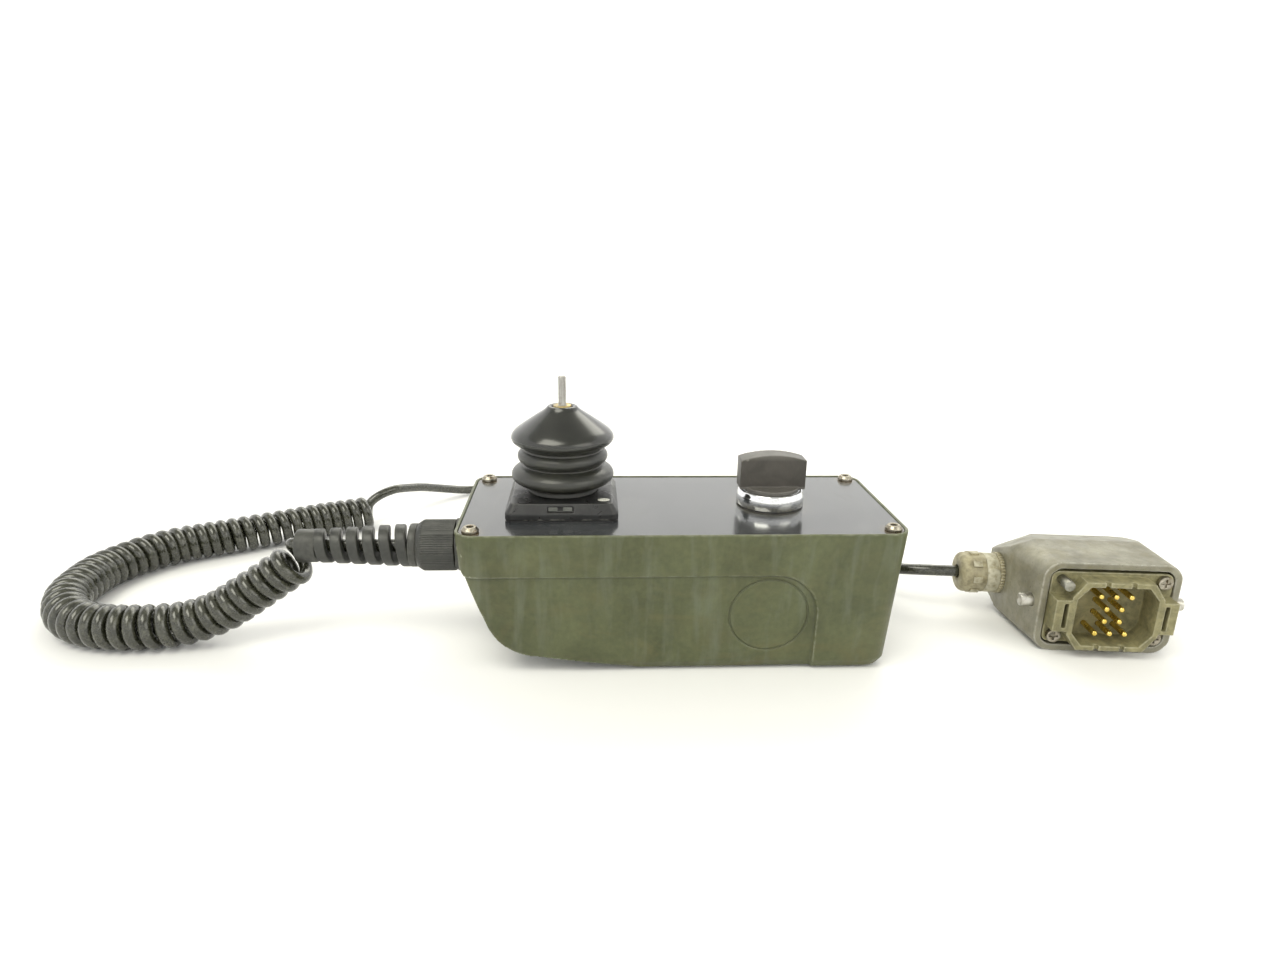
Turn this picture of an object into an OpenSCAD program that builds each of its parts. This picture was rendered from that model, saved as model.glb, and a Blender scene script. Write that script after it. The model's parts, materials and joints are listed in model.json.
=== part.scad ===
// Pendant control station: hand-held housing with a joystick and a selector switch,
// a curly cord out of its left end, and a rectangular multi-pin connector on the cord.
// +Z is up, the front faces -Y, the joystick end is at -X. The origin is the middle of the base.

/* [Housing] */
// Length of the housing at its rim
housing_l = 185; // [180:1:190]
// Width of the housing at its rim
housing_w = 80.5; // [78:0.5:84]
// Height from the base to the rim
housing_h = 63.5; // [63:0.5:64]
// How far each side leans in from the rim to the base
draft = 3.8; // [3:0.2:4.6]
// Radius of the housing's corners seen from above
corner_r = 8; // [7:0.5:10]
// Thickness of the housing's side walls
wall = 3.6; // [3.2:0.2:4]
// Width of the thin lip round the panel
lip_w = 1.4; // [1.2:0.1:1.8]
// Depth of the grip area below the raised band
grip_step = 1.2; // [0.8:0.2:1.6]
// Height of the lower edge of the raised band
band_z = 45; // [44:0.5:46]
// Radius of the round mark on the front
mark_r = 17; // [14:1:18]

/* [Panel] */
// Thickness of the top panel
panel_t = 2.5; // [2:0.1:3]
// Distance of the panel screws from the middle, along X
screw_x = 86; // [85:0.5:87]
// Distance of the panel screws from the middle, along Y
screw_y = 34; // [33:0.5:35]
// Radius of a panel screw's head
screw_head_r = 3.5; // [3:0.1:3.8]

/* [Joystick] */
// Place of the joystick along X
stick_x = -50; // [-52:1:-48]
// Side of the square flange
flange_side = 47; // [46:0.5:48]
// Radius of the steel lever rod
rod_r = 1.6; // [1.4:0.1:2]
// Height of the top of the lever rod
rod_top = 119.8; // [116:0.2:124]
// Height of the gimbal's centre
pivot_z = 57; // [56.5:0.5:57.5]

/* [Selector] */
// Place of the selector switch along X
selector_x = 41.5; // [40:0.5:44]
// Outer radius of the bezel ring
bezel_r = 14.8; // [14.6:0.1:15.2]
// Length of the blade handle
blade_l = 28.8; // [26:0.4:30]
// Thickness of the blade handle
blade_t = 9.6; // [8:0.4:11]
// Height of the top of the blade handle
blade_top = 86.4; // [84:0.4:88]

/* [Cord gland] */
// Height of the gland's axis
gland_z = 44; // [43.5:0.5:44.5]
// Outer radius of the ribbed gland nut
gland_r = 11.4; // [11.2:0.2:12]
// Turns of the spiral strain relief
relief_turns = 6; // [5.5:0.5:7]

/* [Cord] */
// Diameter of the cord
cord_d = 5.5; // [5.2:0.1:5.6]
// Outer diameter of the curly part
coil_d = 20; // [19:0.5:20.5]

/* [Connector] */
// Place of the middle of the hood's rim along X
connector_x = 191; // [190:1:194]
// Place of the middle of the hood's rim along Y
connector_y = -24.6; // [-26:0.2:-23]
// Turn of the connector about Z
connector_turn = -5.7; // [-6:0.1:-5.4]
// Width of the hood's rim
hood_w = 60; // [60:0.5:61]
// Height of the hood's rim
hood_h = 43; // [43:0.5:44]
// Depth of the hood behind its rim
hood_d = 56; // [54:1:60]
// Wall thickness of the hood
hood_wall = 3.2; // [2.8:0.2:3.6]

/* [Hidden] */
$fn = 64;
hull_fn = 32;
e = 0.01;

// Housing levels
lip_h = 0.4;
gasket_t = 1;
panel_top = housing_h - lip_h;
panel_z = panel_top - panel_t;
ledge_z = panel_z - gasket_t;
floor_t = 3.2;
seat_t = 0.6;
seat_z = panel_top + seat_t;
foot_r = 4.5;

// Lower left corner of the housing, a round heel followed by a rising underside
heel_x = -59.5;
heel_z = 30;
heel_r = 22.3;
flat_x = -12;

// Proud column right of the grip area
column_x = 56;
column_r = 18;

// Joystick
flange_top = 70.4;
flange_lip_h = 2.7;
flange_bevel = 2.4;
stick_hole_r = 13;
neck_r = 14;
flange_screw_xy = 18.8;
frame_r = 18;
yoke_ro = 12;
yoke_ri = 8.4;
yoke_h = 4.6;
hub_r = 4.6;
pin_r = 1.5;
fit = 0.05;
shaft_r = 2.8;
shaft_top = 104;
rod_root_r = 2;
ring_top = 107.4;
cup_z = 40;
cup_r = 5;

// Selector
barrel_r = 11;
barrel_top = 69.8;
handle_disc_r = 12.4;
handle_disc_z = 70.1;
blade_z = 71;
spindle_r = 3.5;

// Gland on the left end
gland_face_x = -92.5;
gland_hex_x = -96.6;
locknut_x = -86.4;
locknut_r = 10.4;
nut_end_x = -114;
relief_end_x = -166;
relief_collar = 9;
relief_r1 = 9.6;
relief_r2 = 7.3;
thread_r = 8.1;

// Connector, in its own frame: X to the right, Y from the rim into the hood
insert_z = 20.7;
insert_front = -7.5;
socket_floor = 5;
hood_bulge = 3.5;
flare = 8;
gland_y = 39.5;
hood_gland_z = 20.4;
hood_thread_r = 6.7;
hood_mid = hood_h / 2;
hood_corner_r = 8;
peg_y = 7;
peg_r = 2.9;
peg_tip = 36;
contact_r = 1.25;
contact_tip = -6;
fixing_x = 22;
fixing_z = 13.5;
contact_pitch = 6.5;
row_pitch = 5.9;

// Middle line of the curly part, from the strain relief round to its far end
coil_route = [
    [-167.3, 0, 36.2], [-178, -1, 29], [-189, -3, 22], [-201, -5, 15], [-214, -7, 11],
    [-229, -9, 10], [-244, -9, 10], [-257, -6, 10], [-268, 1, 10], [-276, 11, 10],
    [-281.5, 23, 10], [-283, 37, 10], [-282.5, 50, 10], [-278, 63, 10], [-271, 75, 10],
    [-262, 85, 10], [-250, 93, 10], [-237, 100, 10], [-224, 108, 10], [-211, 116, 10],
    [-198, 124, 10], [-185, 131, 10], [-171, 138, 10]
];
// Middle line of the straight tail, from the curly part's end to the connector's gland
tail_route = [
    [-171, 138.6, 17.2], [-167, 145, 19.4], [-158, 157, 18.6], [-148, 172, 14.6], [-137, 187, 8.8],
    [-124, 198, 4.2], [-109, 205, 2.8], [-92, 207, 2.8], [-74, 205, 2.8], [-54, 199, 2.8],
    [-34, 190, 2.8], [-14, 179, 2.8], [6, 166, 2.8], [26, 151, 2.8], [45, 134, 2.8],
    [61, 117, 2.8], [75, 99, 3], [86, 81, 4], [95, 64, 7], [103, 49, 11.5],
    [111, 36, 15.6], [119, 27, 18.6], [130, 21.9, 20.2], [144.3, 19.8, 20.4]
];

function unit(v) = v / norm(v);
function tangent(p, i) = unit(p[min(i + 1, len(p) - 1)] - p[max(i - 1, 0)]);
function side_of(t) = unit(cross(t, [0, 0, 1]));
function ring_at(p, i, r, n) = let (t = tangent(p, i), s = side_of(t), u = cross(s, t))
    [for (k = [0 : n - 1]) p[i] + r * (cos(360 * k / n) * s + sin(360 * k / n) * u)];
function arc(cx, cz, r, a0, a1, n) = [for (k = [0 : n])
    let (a = a0 + (a1 - a0) * k / n) [cx + r * cos(a), cz + r * sin(a)]];
function lean(z) = draft * (housing_h - z) / housing_h;

// A tube swept along a list of points
module tube(p, r, n) {
    m = len(p);
    points = [for (i = [0 : m - 1]) each ring_at(p, i, r, n)];
    walls = [for (i = [0 : m - 2], k = [0 : n - 1]) let (
        a = i * n + k,
        b = i * n + (k + 1) % n
    ) each [[a, b, b + n], [a, b + n, a + n]]];
    caps = [[for (k = [n - 1 : -1 : 0]) k], [for (k = [0 : n - 1]) (m - 1) * n + k]];
    polyhedron(points, concat(walls, caps));
}

// A closed four-sided section carried round the X axis as a helix
function helix_ring(a, x, w, r0, r1) = [
    [x - w / 2, r0 * cos(a), r0 * sin(a)], [x + w / 2, r0 * cos(a), r0 * sin(a)],
    [x + w / 2, r1 * cos(a), r1 * sin(a)], [x - w / 2, r1 * cos(a), r1 * sin(a)]];
module helix_band(x0, x1, turns, w, r_in, r0, r1, steps) {
    n = turns * steps;
    points = [for (i = [0 : n]) let (f = i / n)
        each helix_ring(360 * turns * f, x0 + (x1 - x0) * f, w, r_in, r0 + (r1 - r0) * f)];
    walls = [for (i = [0 : n - 1], k = [0 : 3]) let (
        a = i * 4 + k,
        b = i * 4 + (k + 1) % 4
    ) each [[a, b + 4, b], [a, a + 4, b + 4]]];
    polyhedron(points, concat(walls, [[0, 1, 2, 3], [for (k = [3 : -1 : 0]) n * 4 + k]]));
}

module round_rect(l, w, r) {
    square([l - 2 * r, w], center = true);
    square([l, w - 2 * r], center = true);
    for (x = [-1, 1], y = [-1, 1])
        translate([x * (l / 2 - r), y * (w / 2 - r)]) circle(r);
}
module slab(l, w, r, z0, z1) {
    translate([0, 0, z0]) linear_extrude(z1 - z0) round_rect(l, w, r);
}
module along_x(x0, x1, r) {
    translate([x0, 0, 0]) rotate([0, 90, 0]) cylinder(h = x1 - x0, r = r);
}
module at_corners(x, y) {
    for (i = [-1, 1], j = [-1, 1]) translate([i * x, j * y, 0]) children();
}
module at_stick() {
    translate([stick_x, 0, 0]) children();
}
module at_selector() {
    translate([selector_x, 0, 0]) children();
}
module at_gland() {
    translate([0, 0, gland_z]) children();
}
module at_connector() {
    translate([connector_x, connector_y, 0]) rotate([0, 0, connector_turn]) children();
}

// Housing: the outside with its draft, set in by the given amount
module drafted_block(inset) {
    hull() {
        slab(housing_l - 2 * inset, housing_w - 2 * inset, corner_r - inset, housing_h - e, housing_h,
            $fn = hull_fn);
        slab(housing_l - 2 * (lean(foot_r) + inset), housing_w - 2 * (lean(foot_r) + inset),
            corner_r - inset, foot_r, foot_r + e, $fn = hull_fn);
        slab(housing_l - 2 * (lean(0) + inset) - 0.6 * foot_r,
            housing_w - 2 * (lean(0) + inset) - 0.6 * foot_r,
            corner_r - inset, 0.3 * foot_r, 0.3 * foot_r + e, $fn = hull_fn);
        slab(housing_l - 2 * (lean(0) + inset) - 2 * foot_r, housing_w - 2 * (lean(0) + inset) - 2 * foot_r,
            corner_r - inset, 0, e, $fn = hull_fn);
    }
}
// Side outline that shapes the left end and the underside, set in by the given amount
module side_outline(inset) {
    translate([0, housing_w, 0]) rotate([90, 0, 0]) linear_extrude(2 * housing_w) polygon(concat(
        [[housing_l, housing_h + 1], [-housing_l, housing_h + 1], [-housing_l, band_z + 2.4 + inset],
            [-housing_l / 2 + 1.7 + inset, band_z + 2.4 + inset],
            [-housing_l / 2 + 3.3 + inset, band_z + inset]],
        arc(heel_x, heel_z, heel_r - inset, 200, 268, 10),
        [[flat_x - 10 + inset, 2 + inset], [flat_x + inset, inset], [housing_l, inset]]
    ));
}
// The part of the side faces that stands proud: the band above and the column at the right
module proud_region() {
    translate([0, housing_w, 0]) rotate([90, 0, 0]) linear_extrude(2 * housing_w) polygon(concat(
        [[-housing_l, housing_h + 1], [-housing_l, band_z]],
        arc(column_x - column_r, band_z - column_r, column_r, 90, 0, 8),
        [[column_x, -1], [housing_l, -1], [housing_l, housing_h + 1]]
    ));
}

module housing_shell() color("#6f7663") difference() {
    union() {
        intersection() {
            union() {
                intersection() {
                    drafted_block(0);
                    proud_region();
                }
                drafted_block(grip_step);
            }
            side_outline(0);
        }
        at_gland() along_x(gland_face_x, -80, 13);
    }
    // The room inside, with a boss left in each corner
    difference() {
        intersection() {
            hull() {
                slab(housing_l - 2 * wall - 2, housing_w - 2 * wall - 2, corner_r - 3, ledge_z, ledge_z + e,
                    $fn = hull_fn);
                slab(housing_l - 2 * (lean(0) + wall + 2), housing_w - 2 * (lean(0) + wall + 2),
                    corner_r - 3, floor_t, floor_t + e, $fn = hull_fn);
            }
            side_outline(floor_t);
        }
        at_corners(screw_x, screw_y) translate([0, 0, 46]) cylinder(h = 20, r = 4.8);
    }
    slab(housing_l - 2 * lip_w, housing_w - 2 * lip_w, corner_r - lip_w, ledge_z, housing_h + 1);
    at_corners(screw_x, screw_y) translate([0, 0, 50]) cylinder(h = 12, r = 2.8);
    at_gland() along_x(gland_face_x - 1, -78, thread_r);
    at_gland() along_x(locknut_x, -74, locknut_r + 0.4);
    // Shallow round mark on the front
    translate([36, -housing_w / 2 + lean(26) + grip_step + 0.4, 26.5])
        rotate([90 + atan(draft / housing_h), 0, 0]) difference() {
            cylinder(h = 3, r = mark_r);
            translate([0, 0, -1]) cylinder(h = 5, r = mark_r - 0.9);
        }
}

module panel_gasket() color("#202020") difference() {
    slab(housing_l - 2 * lip_w - 0.4, housing_w - 2 * lip_w - 0.4, corner_r - lip_w, ledge_z, panel_z);
    slab(housing_l - 2 * wall - 6, housing_w - 2 * wall - 6, 3, ledge_z - 1, panel_z + 1);
    at_corners(screw_x, screw_y) translate([0, 0, ledge_z - 1]) cylinder(h = 4, r = 2.3);
}

module top_panel() color("#15171a") difference() {
    slab(housing_l - 2 * lip_w - 0.4, housing_w - 2 * lip_w - 0.4, corner_r - lip_w, panel_z, panel_top);
    at_stick() translate([0, 0, panel_z - 1]) cylinder(h = panel_t + 2, r = stick_hole_r);
    at_stick() at_corners(flange_screw_xy, flange_screw_xy)
        translate([0, 0, panel_z - 1]) cylinder(h = panel_t + 2, r = 1.7);
    at_selector() translate([0, 0, panel_z - 1]) cylinder(h = panel_t + 2, r = barrel_r + 0.15);
    at_corners(screw_x, screw_y) translate([0, 0, panel_z - 1]) cylinder(h = panel_t + 2, r = 2.2);
}

module panel_screws() color("#b9b6aa") at_corners(screw_x, screw_y) difference() {
    union() {
        translate([0, 0, 52]) cylinder(h = panel_top - 52, r = 1.95);
        translate([0, 0, panel_top]) cylinder(h = 1.2, r = screw_head_r);
        translate([0, 0, panel_top + 1.2]) cylinder(h = 1.2, r1 = screw_head_r, r2 = screw_head_r - 1);
    }
    translate([0, 0, panel_top + 0.9]) cylinder(h = 3, r = 1.6, $fn = 6);
}

module screw_inserts() color("#b08d4a") at_corners(screw_x, screw_y) difference() {
    translate([0, 0, 50.5]) cylinder(h = 8.5, r = 2.8);
    translate([0, 0, 50]) cylinder(h = 10, r = 2);
}

module joystick_flange() color("#1b1d1c") at_stick() difference() {
    union() {
        slab(flange_side, flange_side, 3, seat_z, seat_z + flange_lip_h);
        hull() {
            slab(flange_side, flange_side, 3, seat_z + flange_lip_h - e, seat_z + flange_lip_h,
                $fn = hull_fn);
            slab(flange_side - 2 * flange_bevel, flange_side - 2 * flange_bevel, 2,
                flange_top - e, flange_top, $fn = hull_fn);
        }
        translate([0, 0, flange_top - 1]) cylinder(h = 4, r = neck_r);
    }
    translate([0, 0, seat_z - 1]) cylinder(h = 20, r = stick_hole_r - 0.6);
    at_corners(flange_screw_xy, flange_screw_xy) translate([0, 0, seat_z - 1]) cylinder(h = 6.4, r = 1.45);
    // Small window in the front bevel
    translate([-6, -flange_side / 2 - 1, seat_z + flange_lip_h + 0.6]) cube([11, 3, 2.4]);
}

module flange_gasket() color("#2a2a2a") at_stick() difference() {
    slab(flange_side - 1, flange_side - 1, 3, panel_top, seat_z);
    translate([0, 0, panel_top - 1]) cylinder(h = 3, r = stick_hole_r);
    at_corners(flange_screw_xy, flange_screw_xy) translate([0, 0, panel_top - 1]) cylinder(h = 3, r = 1.7);
}

module flange_screws() color("#a9a9a4") at_stick() at_corners(flange_screw_xy, flange_screw_xy) {
    translate([0, 0, panel_z - 5.4]) cylinder(h = 2.4, r = 2.7);
    translate([0, 0, panel_z - 3]) cylinder(h = 11, r = 1.45);
}

module joystick_frame() color("#30343a") at_stick() difference() {
    union() {
        slab(44, 44, 3, panel_z - 3, panel_z);
        translate([0, 0, 33]) cylinder(h = panel_z - 33, r = frame_r);
    }
    translate([0, 0, 51]) cylinder(h = 12, r = yoke_ro + 1.2);
    translate([0, 0, 35.5]) cylinder(h = 15.6, r = frame_r - 1.6);
    translate([0, 0, pivot_z]) rotate([90, 0, 0])
        cylinder(h = 2 * frame_r + 4, r = pin_r + fit, center = true);
    at_corners(flange_screw_xy, flange_screw_xy) translate([0, 0, panel_z - 6]) cylinder(h = 8, r = 1.7);
}

// The yoke turns about Y on its two pins, and carries the lever's pin along X
module gimbal_yoke() color("#9b9d9f") at_stick() translate([0, 0, pivot_z]) difference() {
    translate([0, 0, -yoke_h / 2]) cylinder(h = yoke_h, r = yoke_ro);
    translate([0, 0, -yoke_h]) cylinder(h = 2 * yoke_h, r = yoke_ri);
    rotate([90, 0, 0]) cylinder(h = 4 * yoke_ro, r = pin_r, center = true);
    rotate([0, 90, 0]) cylinder(h = 4 * yoke_ro, r = pin_r + fit, center = true);
}

module yoke_pins() color("#c9c9c6") at_stick() translate([0, 0, pivot_z])
    for (s = [-1, 1]) rotate([s * 90, 0, 0]) translate([0, 0, yoke_ri + 0.4]) cylinder(h = 8.6, r = pin_r);

module lever_shaft() color("#8d8f90") at_stick() difference() {
    union() {
        translate([0, 0, pivot_z - 4.6]) cylinder(h = 9.2, r = hub_r);
        translate([0, 0, cup_z]) cylinder(h = shaft_top - cup_z, r = shaft_r);
        translate([0, 0, cup_z - 2]) cylinder(h = 3, r = cup_r);
    }
    translate([0, 0, 94]) cylinder(h = 20, r = rod_root_r);
    translate([0, 0, pivot_z]) rotate([0, 90, 0]) cylinder(h = 20, r = pin_r, center = true);
}

module lever_pin() color("#c9c9c6") at_stick() translate([0, 0, pivot_z]) rotate([0, 90, 0])
    cylinder(h = 2 * yoke_ro - 1, r = pin_r, center = true);

module lever_rod() color("#8a8c8b") at_stick() {
    translate([0, 0, 94]) cylinder(h = ring_top - 94, r = rod_root_r);
    translate([0, 0, ring_top - e]) cylinder(h = rod_top - ring_top - 0.4 + e, r = rod_r);
    translate([0, 0, rod_top - 0.4]) cylinder(h = 0.4, r1 = rod_r, r2 = rod_r - 0.4);
}

// Return spring round the lower end of the lever, as a helix
module return_spring() color("#b8bab8") at_stick() {
    turns = 4;
    n = turns * 14;
    route = [for (i = [0 : n]) [3.8 * cos(360 * i / 14), 3.8 * sin(360 * i / 14), 42 + 9.2 * i / n]];
    tube(route, 0.5, 6);
}

module microswitches() color("#26282b") at_stick()
    for (a = [0 : 90 : 270]) rotate([0, 0, a]) translate([12, -3.6, 35.5]) cube([3.2, 7.2, 12]);

boot_outline = [
    [15.7, 70.4], [15.7, 73.2], [19.6, 74.4], [21.4, 75.8], [22, 77.4], [21.5, 79.2], [19.6, 80.8],
    [17.2, 82], [17.2, 82.8], [18.6, 83.6], [19.3, 85.4], [19, 86.8], [17.4, 88.8], [17.4, 89.7],
    [19.4, 90.8], [21.3, 92.2], [21.9, 93.6], [21.5, 95.2], [19.7, 97.2], [17.5, 98.8], [14.2, 101.1],
    [10.9, 103.3], [7.4, 105.8], [6.6, 106.6], [5.9, 107]
];
boot_t = 1.5;
module boot() color("#2c2d29") at_stick() rotate_extrude($fn = 48) polygon(concat(
    boot_outline,
    [[4.1, 107]],
    [for (i = [len(boot_outline) - 2 : -1 : 0])
        [boot_outline[i][0] - boot_t - (boot_outline[i][0] > 18 ? 0.6 : 0), boot_outline[i][1]]]
));

module boot_ring() color("#a8905c") at_stick() translate([0, 0, 105]) difference() {
    cylinder(h = ring_top - 105, r = 3.9);
    translate([0, 0, -1]) cylinder(h = 5, r = rod_root_r);
}

module selector_bezel() color("#c8cbcc") at_selector() difference() {
    rotate_extrude() polygon([
        [barrel_r + 0.05, seat_z], [bezel_r, seat_z], [bezel_r, seat_z + 4.4], [bezel_r - 0.9, 70.2],
        [bezel_r - 1.4, 70.5], [handle_disc_r + 0.4, 70.5], [handle_disc_r + 0.4, barrel_top],
        [barrel_r + 0.05, barrel_top]
    ]);
    rotate([0, 0, -52]) translate([bezel_r - 0.8, -1, seat_z + 0.5]) cube([3, 2, 2]);
}

module bezel_gasket() color("#2a2a2a") at_selector() translate([0, 0, panel_top]) difference() {
    cylinder(h = seat_t, r = bezel_r - 0.3);
    translate([0, 0, -1]) cylinder(h = 3, r = barrel_r + 0.05);
}

module selector_barrel() color("#34383c") at_selector() translate([0, 0, 47]) difference() {
    cylinder(h = barrel_top - 47, r = barrel_r);
    translate([0, 0, -1]) cylinder(h = 40, r = spindle_r + fit);
}

module selector_nut() color("#9a9c9e") at_selector() translate([0, 0, panel_z - 4.5]) difference() {
    cylinder(h = 4.5, r = 15.5, $fn = 6);
    translate([0, 0, -1]) cylinder(h = 8, r = barrel_r);
}

module switch_carrier() color("#3b3f44") at_selector() difference() {
    slab(30, 30, 2, 37, 53);
    translate([0, 0, 46]) cylinder(h = 10, r = barrel_r);
    translate([0, 0, 38.5]) cylinder(h = 8.6, r = 10);
}

module selector_handle() color("#3a3430") at_selector() difference() {
    union() {
        translate([0, 0, handle_disc_z]) cylinder(h = 1.9, r = handle_disc_r);
        intersection() {
            translate([-blade_l / 2, -blade_t / 2, blade_z]) cube([blade_l, blade_t, 30]);
            translate([0, 0, blade_top - 45]) rotate([90, 0, 0])
                cylinder(h = 40, r = 45, center = true, $fn = 128);
        }
    }
    translate([0, 0, handle_disc_z - 1]) cylinder(h = 7, r = spindle_r);
}

module selector_shaft() color("#b9a06a") at_selector() {
    translate([0, 0, 40]) cylinder(h = handle_disc_z + 6 - 40, r = spindle_r);
    translate([0, 0, 40]) cylinder(h = 5, r = 6.5);
    translate([0, -1.6, 40]) cube([9, 3.2, 5]);
}

module contact_blocks() color("#2f5d46") at_selector()
    for (s = [-1, 1]) translate([-12, s * 7.6 - 7, 18]) cube([24, 14, 19]);

module terminal_block() color("#8c8f86") difference() {
    translate([-2, -9, floor_t]) cube([36, 18, 10]);
    for (i = [0 : 5]) translate([1 + 6 * i, -4, floor_t + 6]) cylinder(h = 6, r = 2);
    for (i = [0 : 5]) translate([1 + 6 * i, 4, floor_t + 6]) cylinder(h = 6, r = 2);
}

module gland_body() color("#26282a") at_gland() difference() {
    union() {
        translate([gland_hex_x, 0, 0]) rotate([0, 90, 0])
            cylinder(h = gland_face_x - gland_hex_x, r = 12.6, $fn = 6);
        along_x(gland_face_x - e, -78, thread_r - 0.05);
        along_x(-107, gland_hex_x + e, 9);
    }
    along_x(-115, -70, 5.4);
    along_x(-115, -98, 7.5);
}

module gland_locknut() color("#a3a5a3") at_gland() difference() {
    translate([locknut_x, 0, 0]) rotate([0, 90, 0]) cylinder(h = 4, r = locknut_r, $fn = 6);
    along_x(-90, -80, thread_r - 0.05);
}

module gland_bush() color("#1d1d1d") at_gland() difference() {
    along_x(-108, -98, 7.5);
    along_x(-112, -95, cord_d / 2);
}

module gland_nut() color("#2b2c2b") at_gland() difference() {
    union() {
        along_x(-111, gland_hex_x - 0.2, gland_r);
        translate([nut_end_x, 0, 0]) rotate([0, 90, 0]) cylinder(h = 3, r1 = gland_r - 2, r2 = gland_r);
    }
    along_x(-108.5, -90, 9.05);
    along_x(-120, -105, 7.6);
}

module spiral_relief() color("#2e2f2d") at_gland() {
    difference() {
        union() {
            along_x(relief_end_x, relief_end_x + relief_collar, relief_r2);
            along_x(-113.9, -110.5, 7.55);
            along_x(-117, nut_end_x, relief_r1);
        }
        along_x(relief_end_x - 1, -108, cord_d / 2 + 0.1);
    }
    helix_band(relief_end_x + relief_collar - 1, -116, relief_turns, 4.6, cord_d / 2 + 0.9, relief_r2,
        relief_r1, 16);
}

module cord_lead() color("#3c3e38") at_gland() along_x(-172, -84, cord_d / 2);
module cord_coil() color("#3c3e38") tube(coil_route, coil_d / 2, 12);
module cord_tail() color("#3c3e38") tube(tail_route, cord_d / 2, 8);

// The hood is where its outlines from above, from the side and from the rim meet, less one back corner
module hood_section(t) {
    translate([0, hood_d + 5, hood_mid]) rotate([90, 0, 0]) linear_extrude(hood_d + 15)
        round_rect(200, hood_h - 2 * t, hood_corner_r - t);
}
module hood_solid(t) {
    w = hood_w / 2;
    back = hood_d - t;
    difference() {
        intersection() {
            translate([0, 0, -1]) linear_extrude(hood_h + 2) polygon([
                [-w + t, -t], [-w - hood_bulge + t, 25], [-w - hood_bulge + t, back - 5],
                [-w - hood_bulge + t + 5, back], [w - t - 5, back], [w - t, back - 5], [w - t, -t]
            ]);
            rotate([90, 0, 90]) linear_extrude(3 * hood_w, center = true) polygon([
                [-t, t], [28, t], [back, 8 + t], [back, hood_h - 8 - t], [28, hood_h - t], [-t, hood_h - t]
            ]);
            translate([w - t - 100, 0, 0]) hood_section(t);
            translate([-w, 0, 0]) rotate([0, 0, flare]) translate([t + 100, 0, 0]) hood_section(t);
        }
        translate([-27.5, 25.3, hood_h]) rotate([0, 31.5, 132.4]) translate([-50, -50, -t]) cube(100);
    }
}
module connector_hood() color("#8c8e86") at_connector() difference() {
    hood_solid(0);
    hood_solid(hood_wall);
    translate([-50, gland_y, hood_gland_z]) rotate([0, 90, 0]) cylinder(h = 30, r = hood_thread_r);
    translate([0, peg_y, hood_mid]) rotate([0, 90, 0]) cylinder(h = 3 * hood_w, r = peg_r, center = true);
}

module locking_pegs() color("#b4b5b0") at_connector() for (s = [-1, 1])
    translate([s * 26.6, peg_y, hood_mid]) rotate([0, s * 90, 0]) cylinder(h = peg_tip - 26.6, r = peg_r);

hood_face = -hood_w / 2 - hood_bulge;
module at_hood_gland() {
    at_connector() translate([hood_face, gland_y, hood_gland_z]) rotate([0, -90, 0]) children();
}
teeth = 40;
module hood_gland_ring() color("#b5ab80") at_hood_gland() difference() {
    linear_extrude(2) polygon([for (i = [0 : 4 * teeth - 1]) let (r = i % 4 < 2 ? 10 : 9.4)
        [r * cos(90 * i / teeth), r * sin(90 * i / teeth)]]);
    translate([0, 0, -1]) cylinder(h = 5, r = hood_thread_r);
}

module hood_gland_body() color("#bdb289") at_hood_gland() difference() {
    union() {
        translate([0, 0, 2]) cylinder(h = 6.2, r = 9.6, $fn = 12);
        translate([0, 0, -9]) cylinder(h = 12, r = hood_thread_r - 0.05);
        translate([0, 0, 8.1]) cylinder(h = 5.8, r = 7.5);
    }
    translate([0, 0, -12]) cylinder(h = 40, r = 4.2);
    translate([0, 0, 8.3]) cylinder(h = 10, r = 6.1);
}

module hood_gland_nut() color("#bfb48c") at_hood_gland() difference() {
    union() {
        rotate_extrude() polygon(concat(
            [[0, 8.4], [9.6, 8.4], [9.6, 16.6]], arc(6.8, 17.1, 2.8, 0, 90, 6), [[0, 19.9]]));
        for (a = [0 : 45 : 315]) rotate([0, 0, a]) translate([8.4, -1.5, 10.8]) cube([1.9, 3, 4.2]);
    }
    translate([0, 0, 8]) cylinder(h = 6.2, r = 7.55);
    translate([0, 0, 14]) cylinder(h = 3.4, r = 6.1);
    translate([0, 0, 16]) cylinder(h = 10, r = 3.4);
}

module hood_gland_bush() color("#1d1d1d") at_hood_gland() difference() {
    translate([0, 0, 8.3]) cylinder(h = 9.1, r = 6.1);
    translate([0, 0, 8]) cylinder(h = 20, r = cord_d / 2);
}

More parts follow.
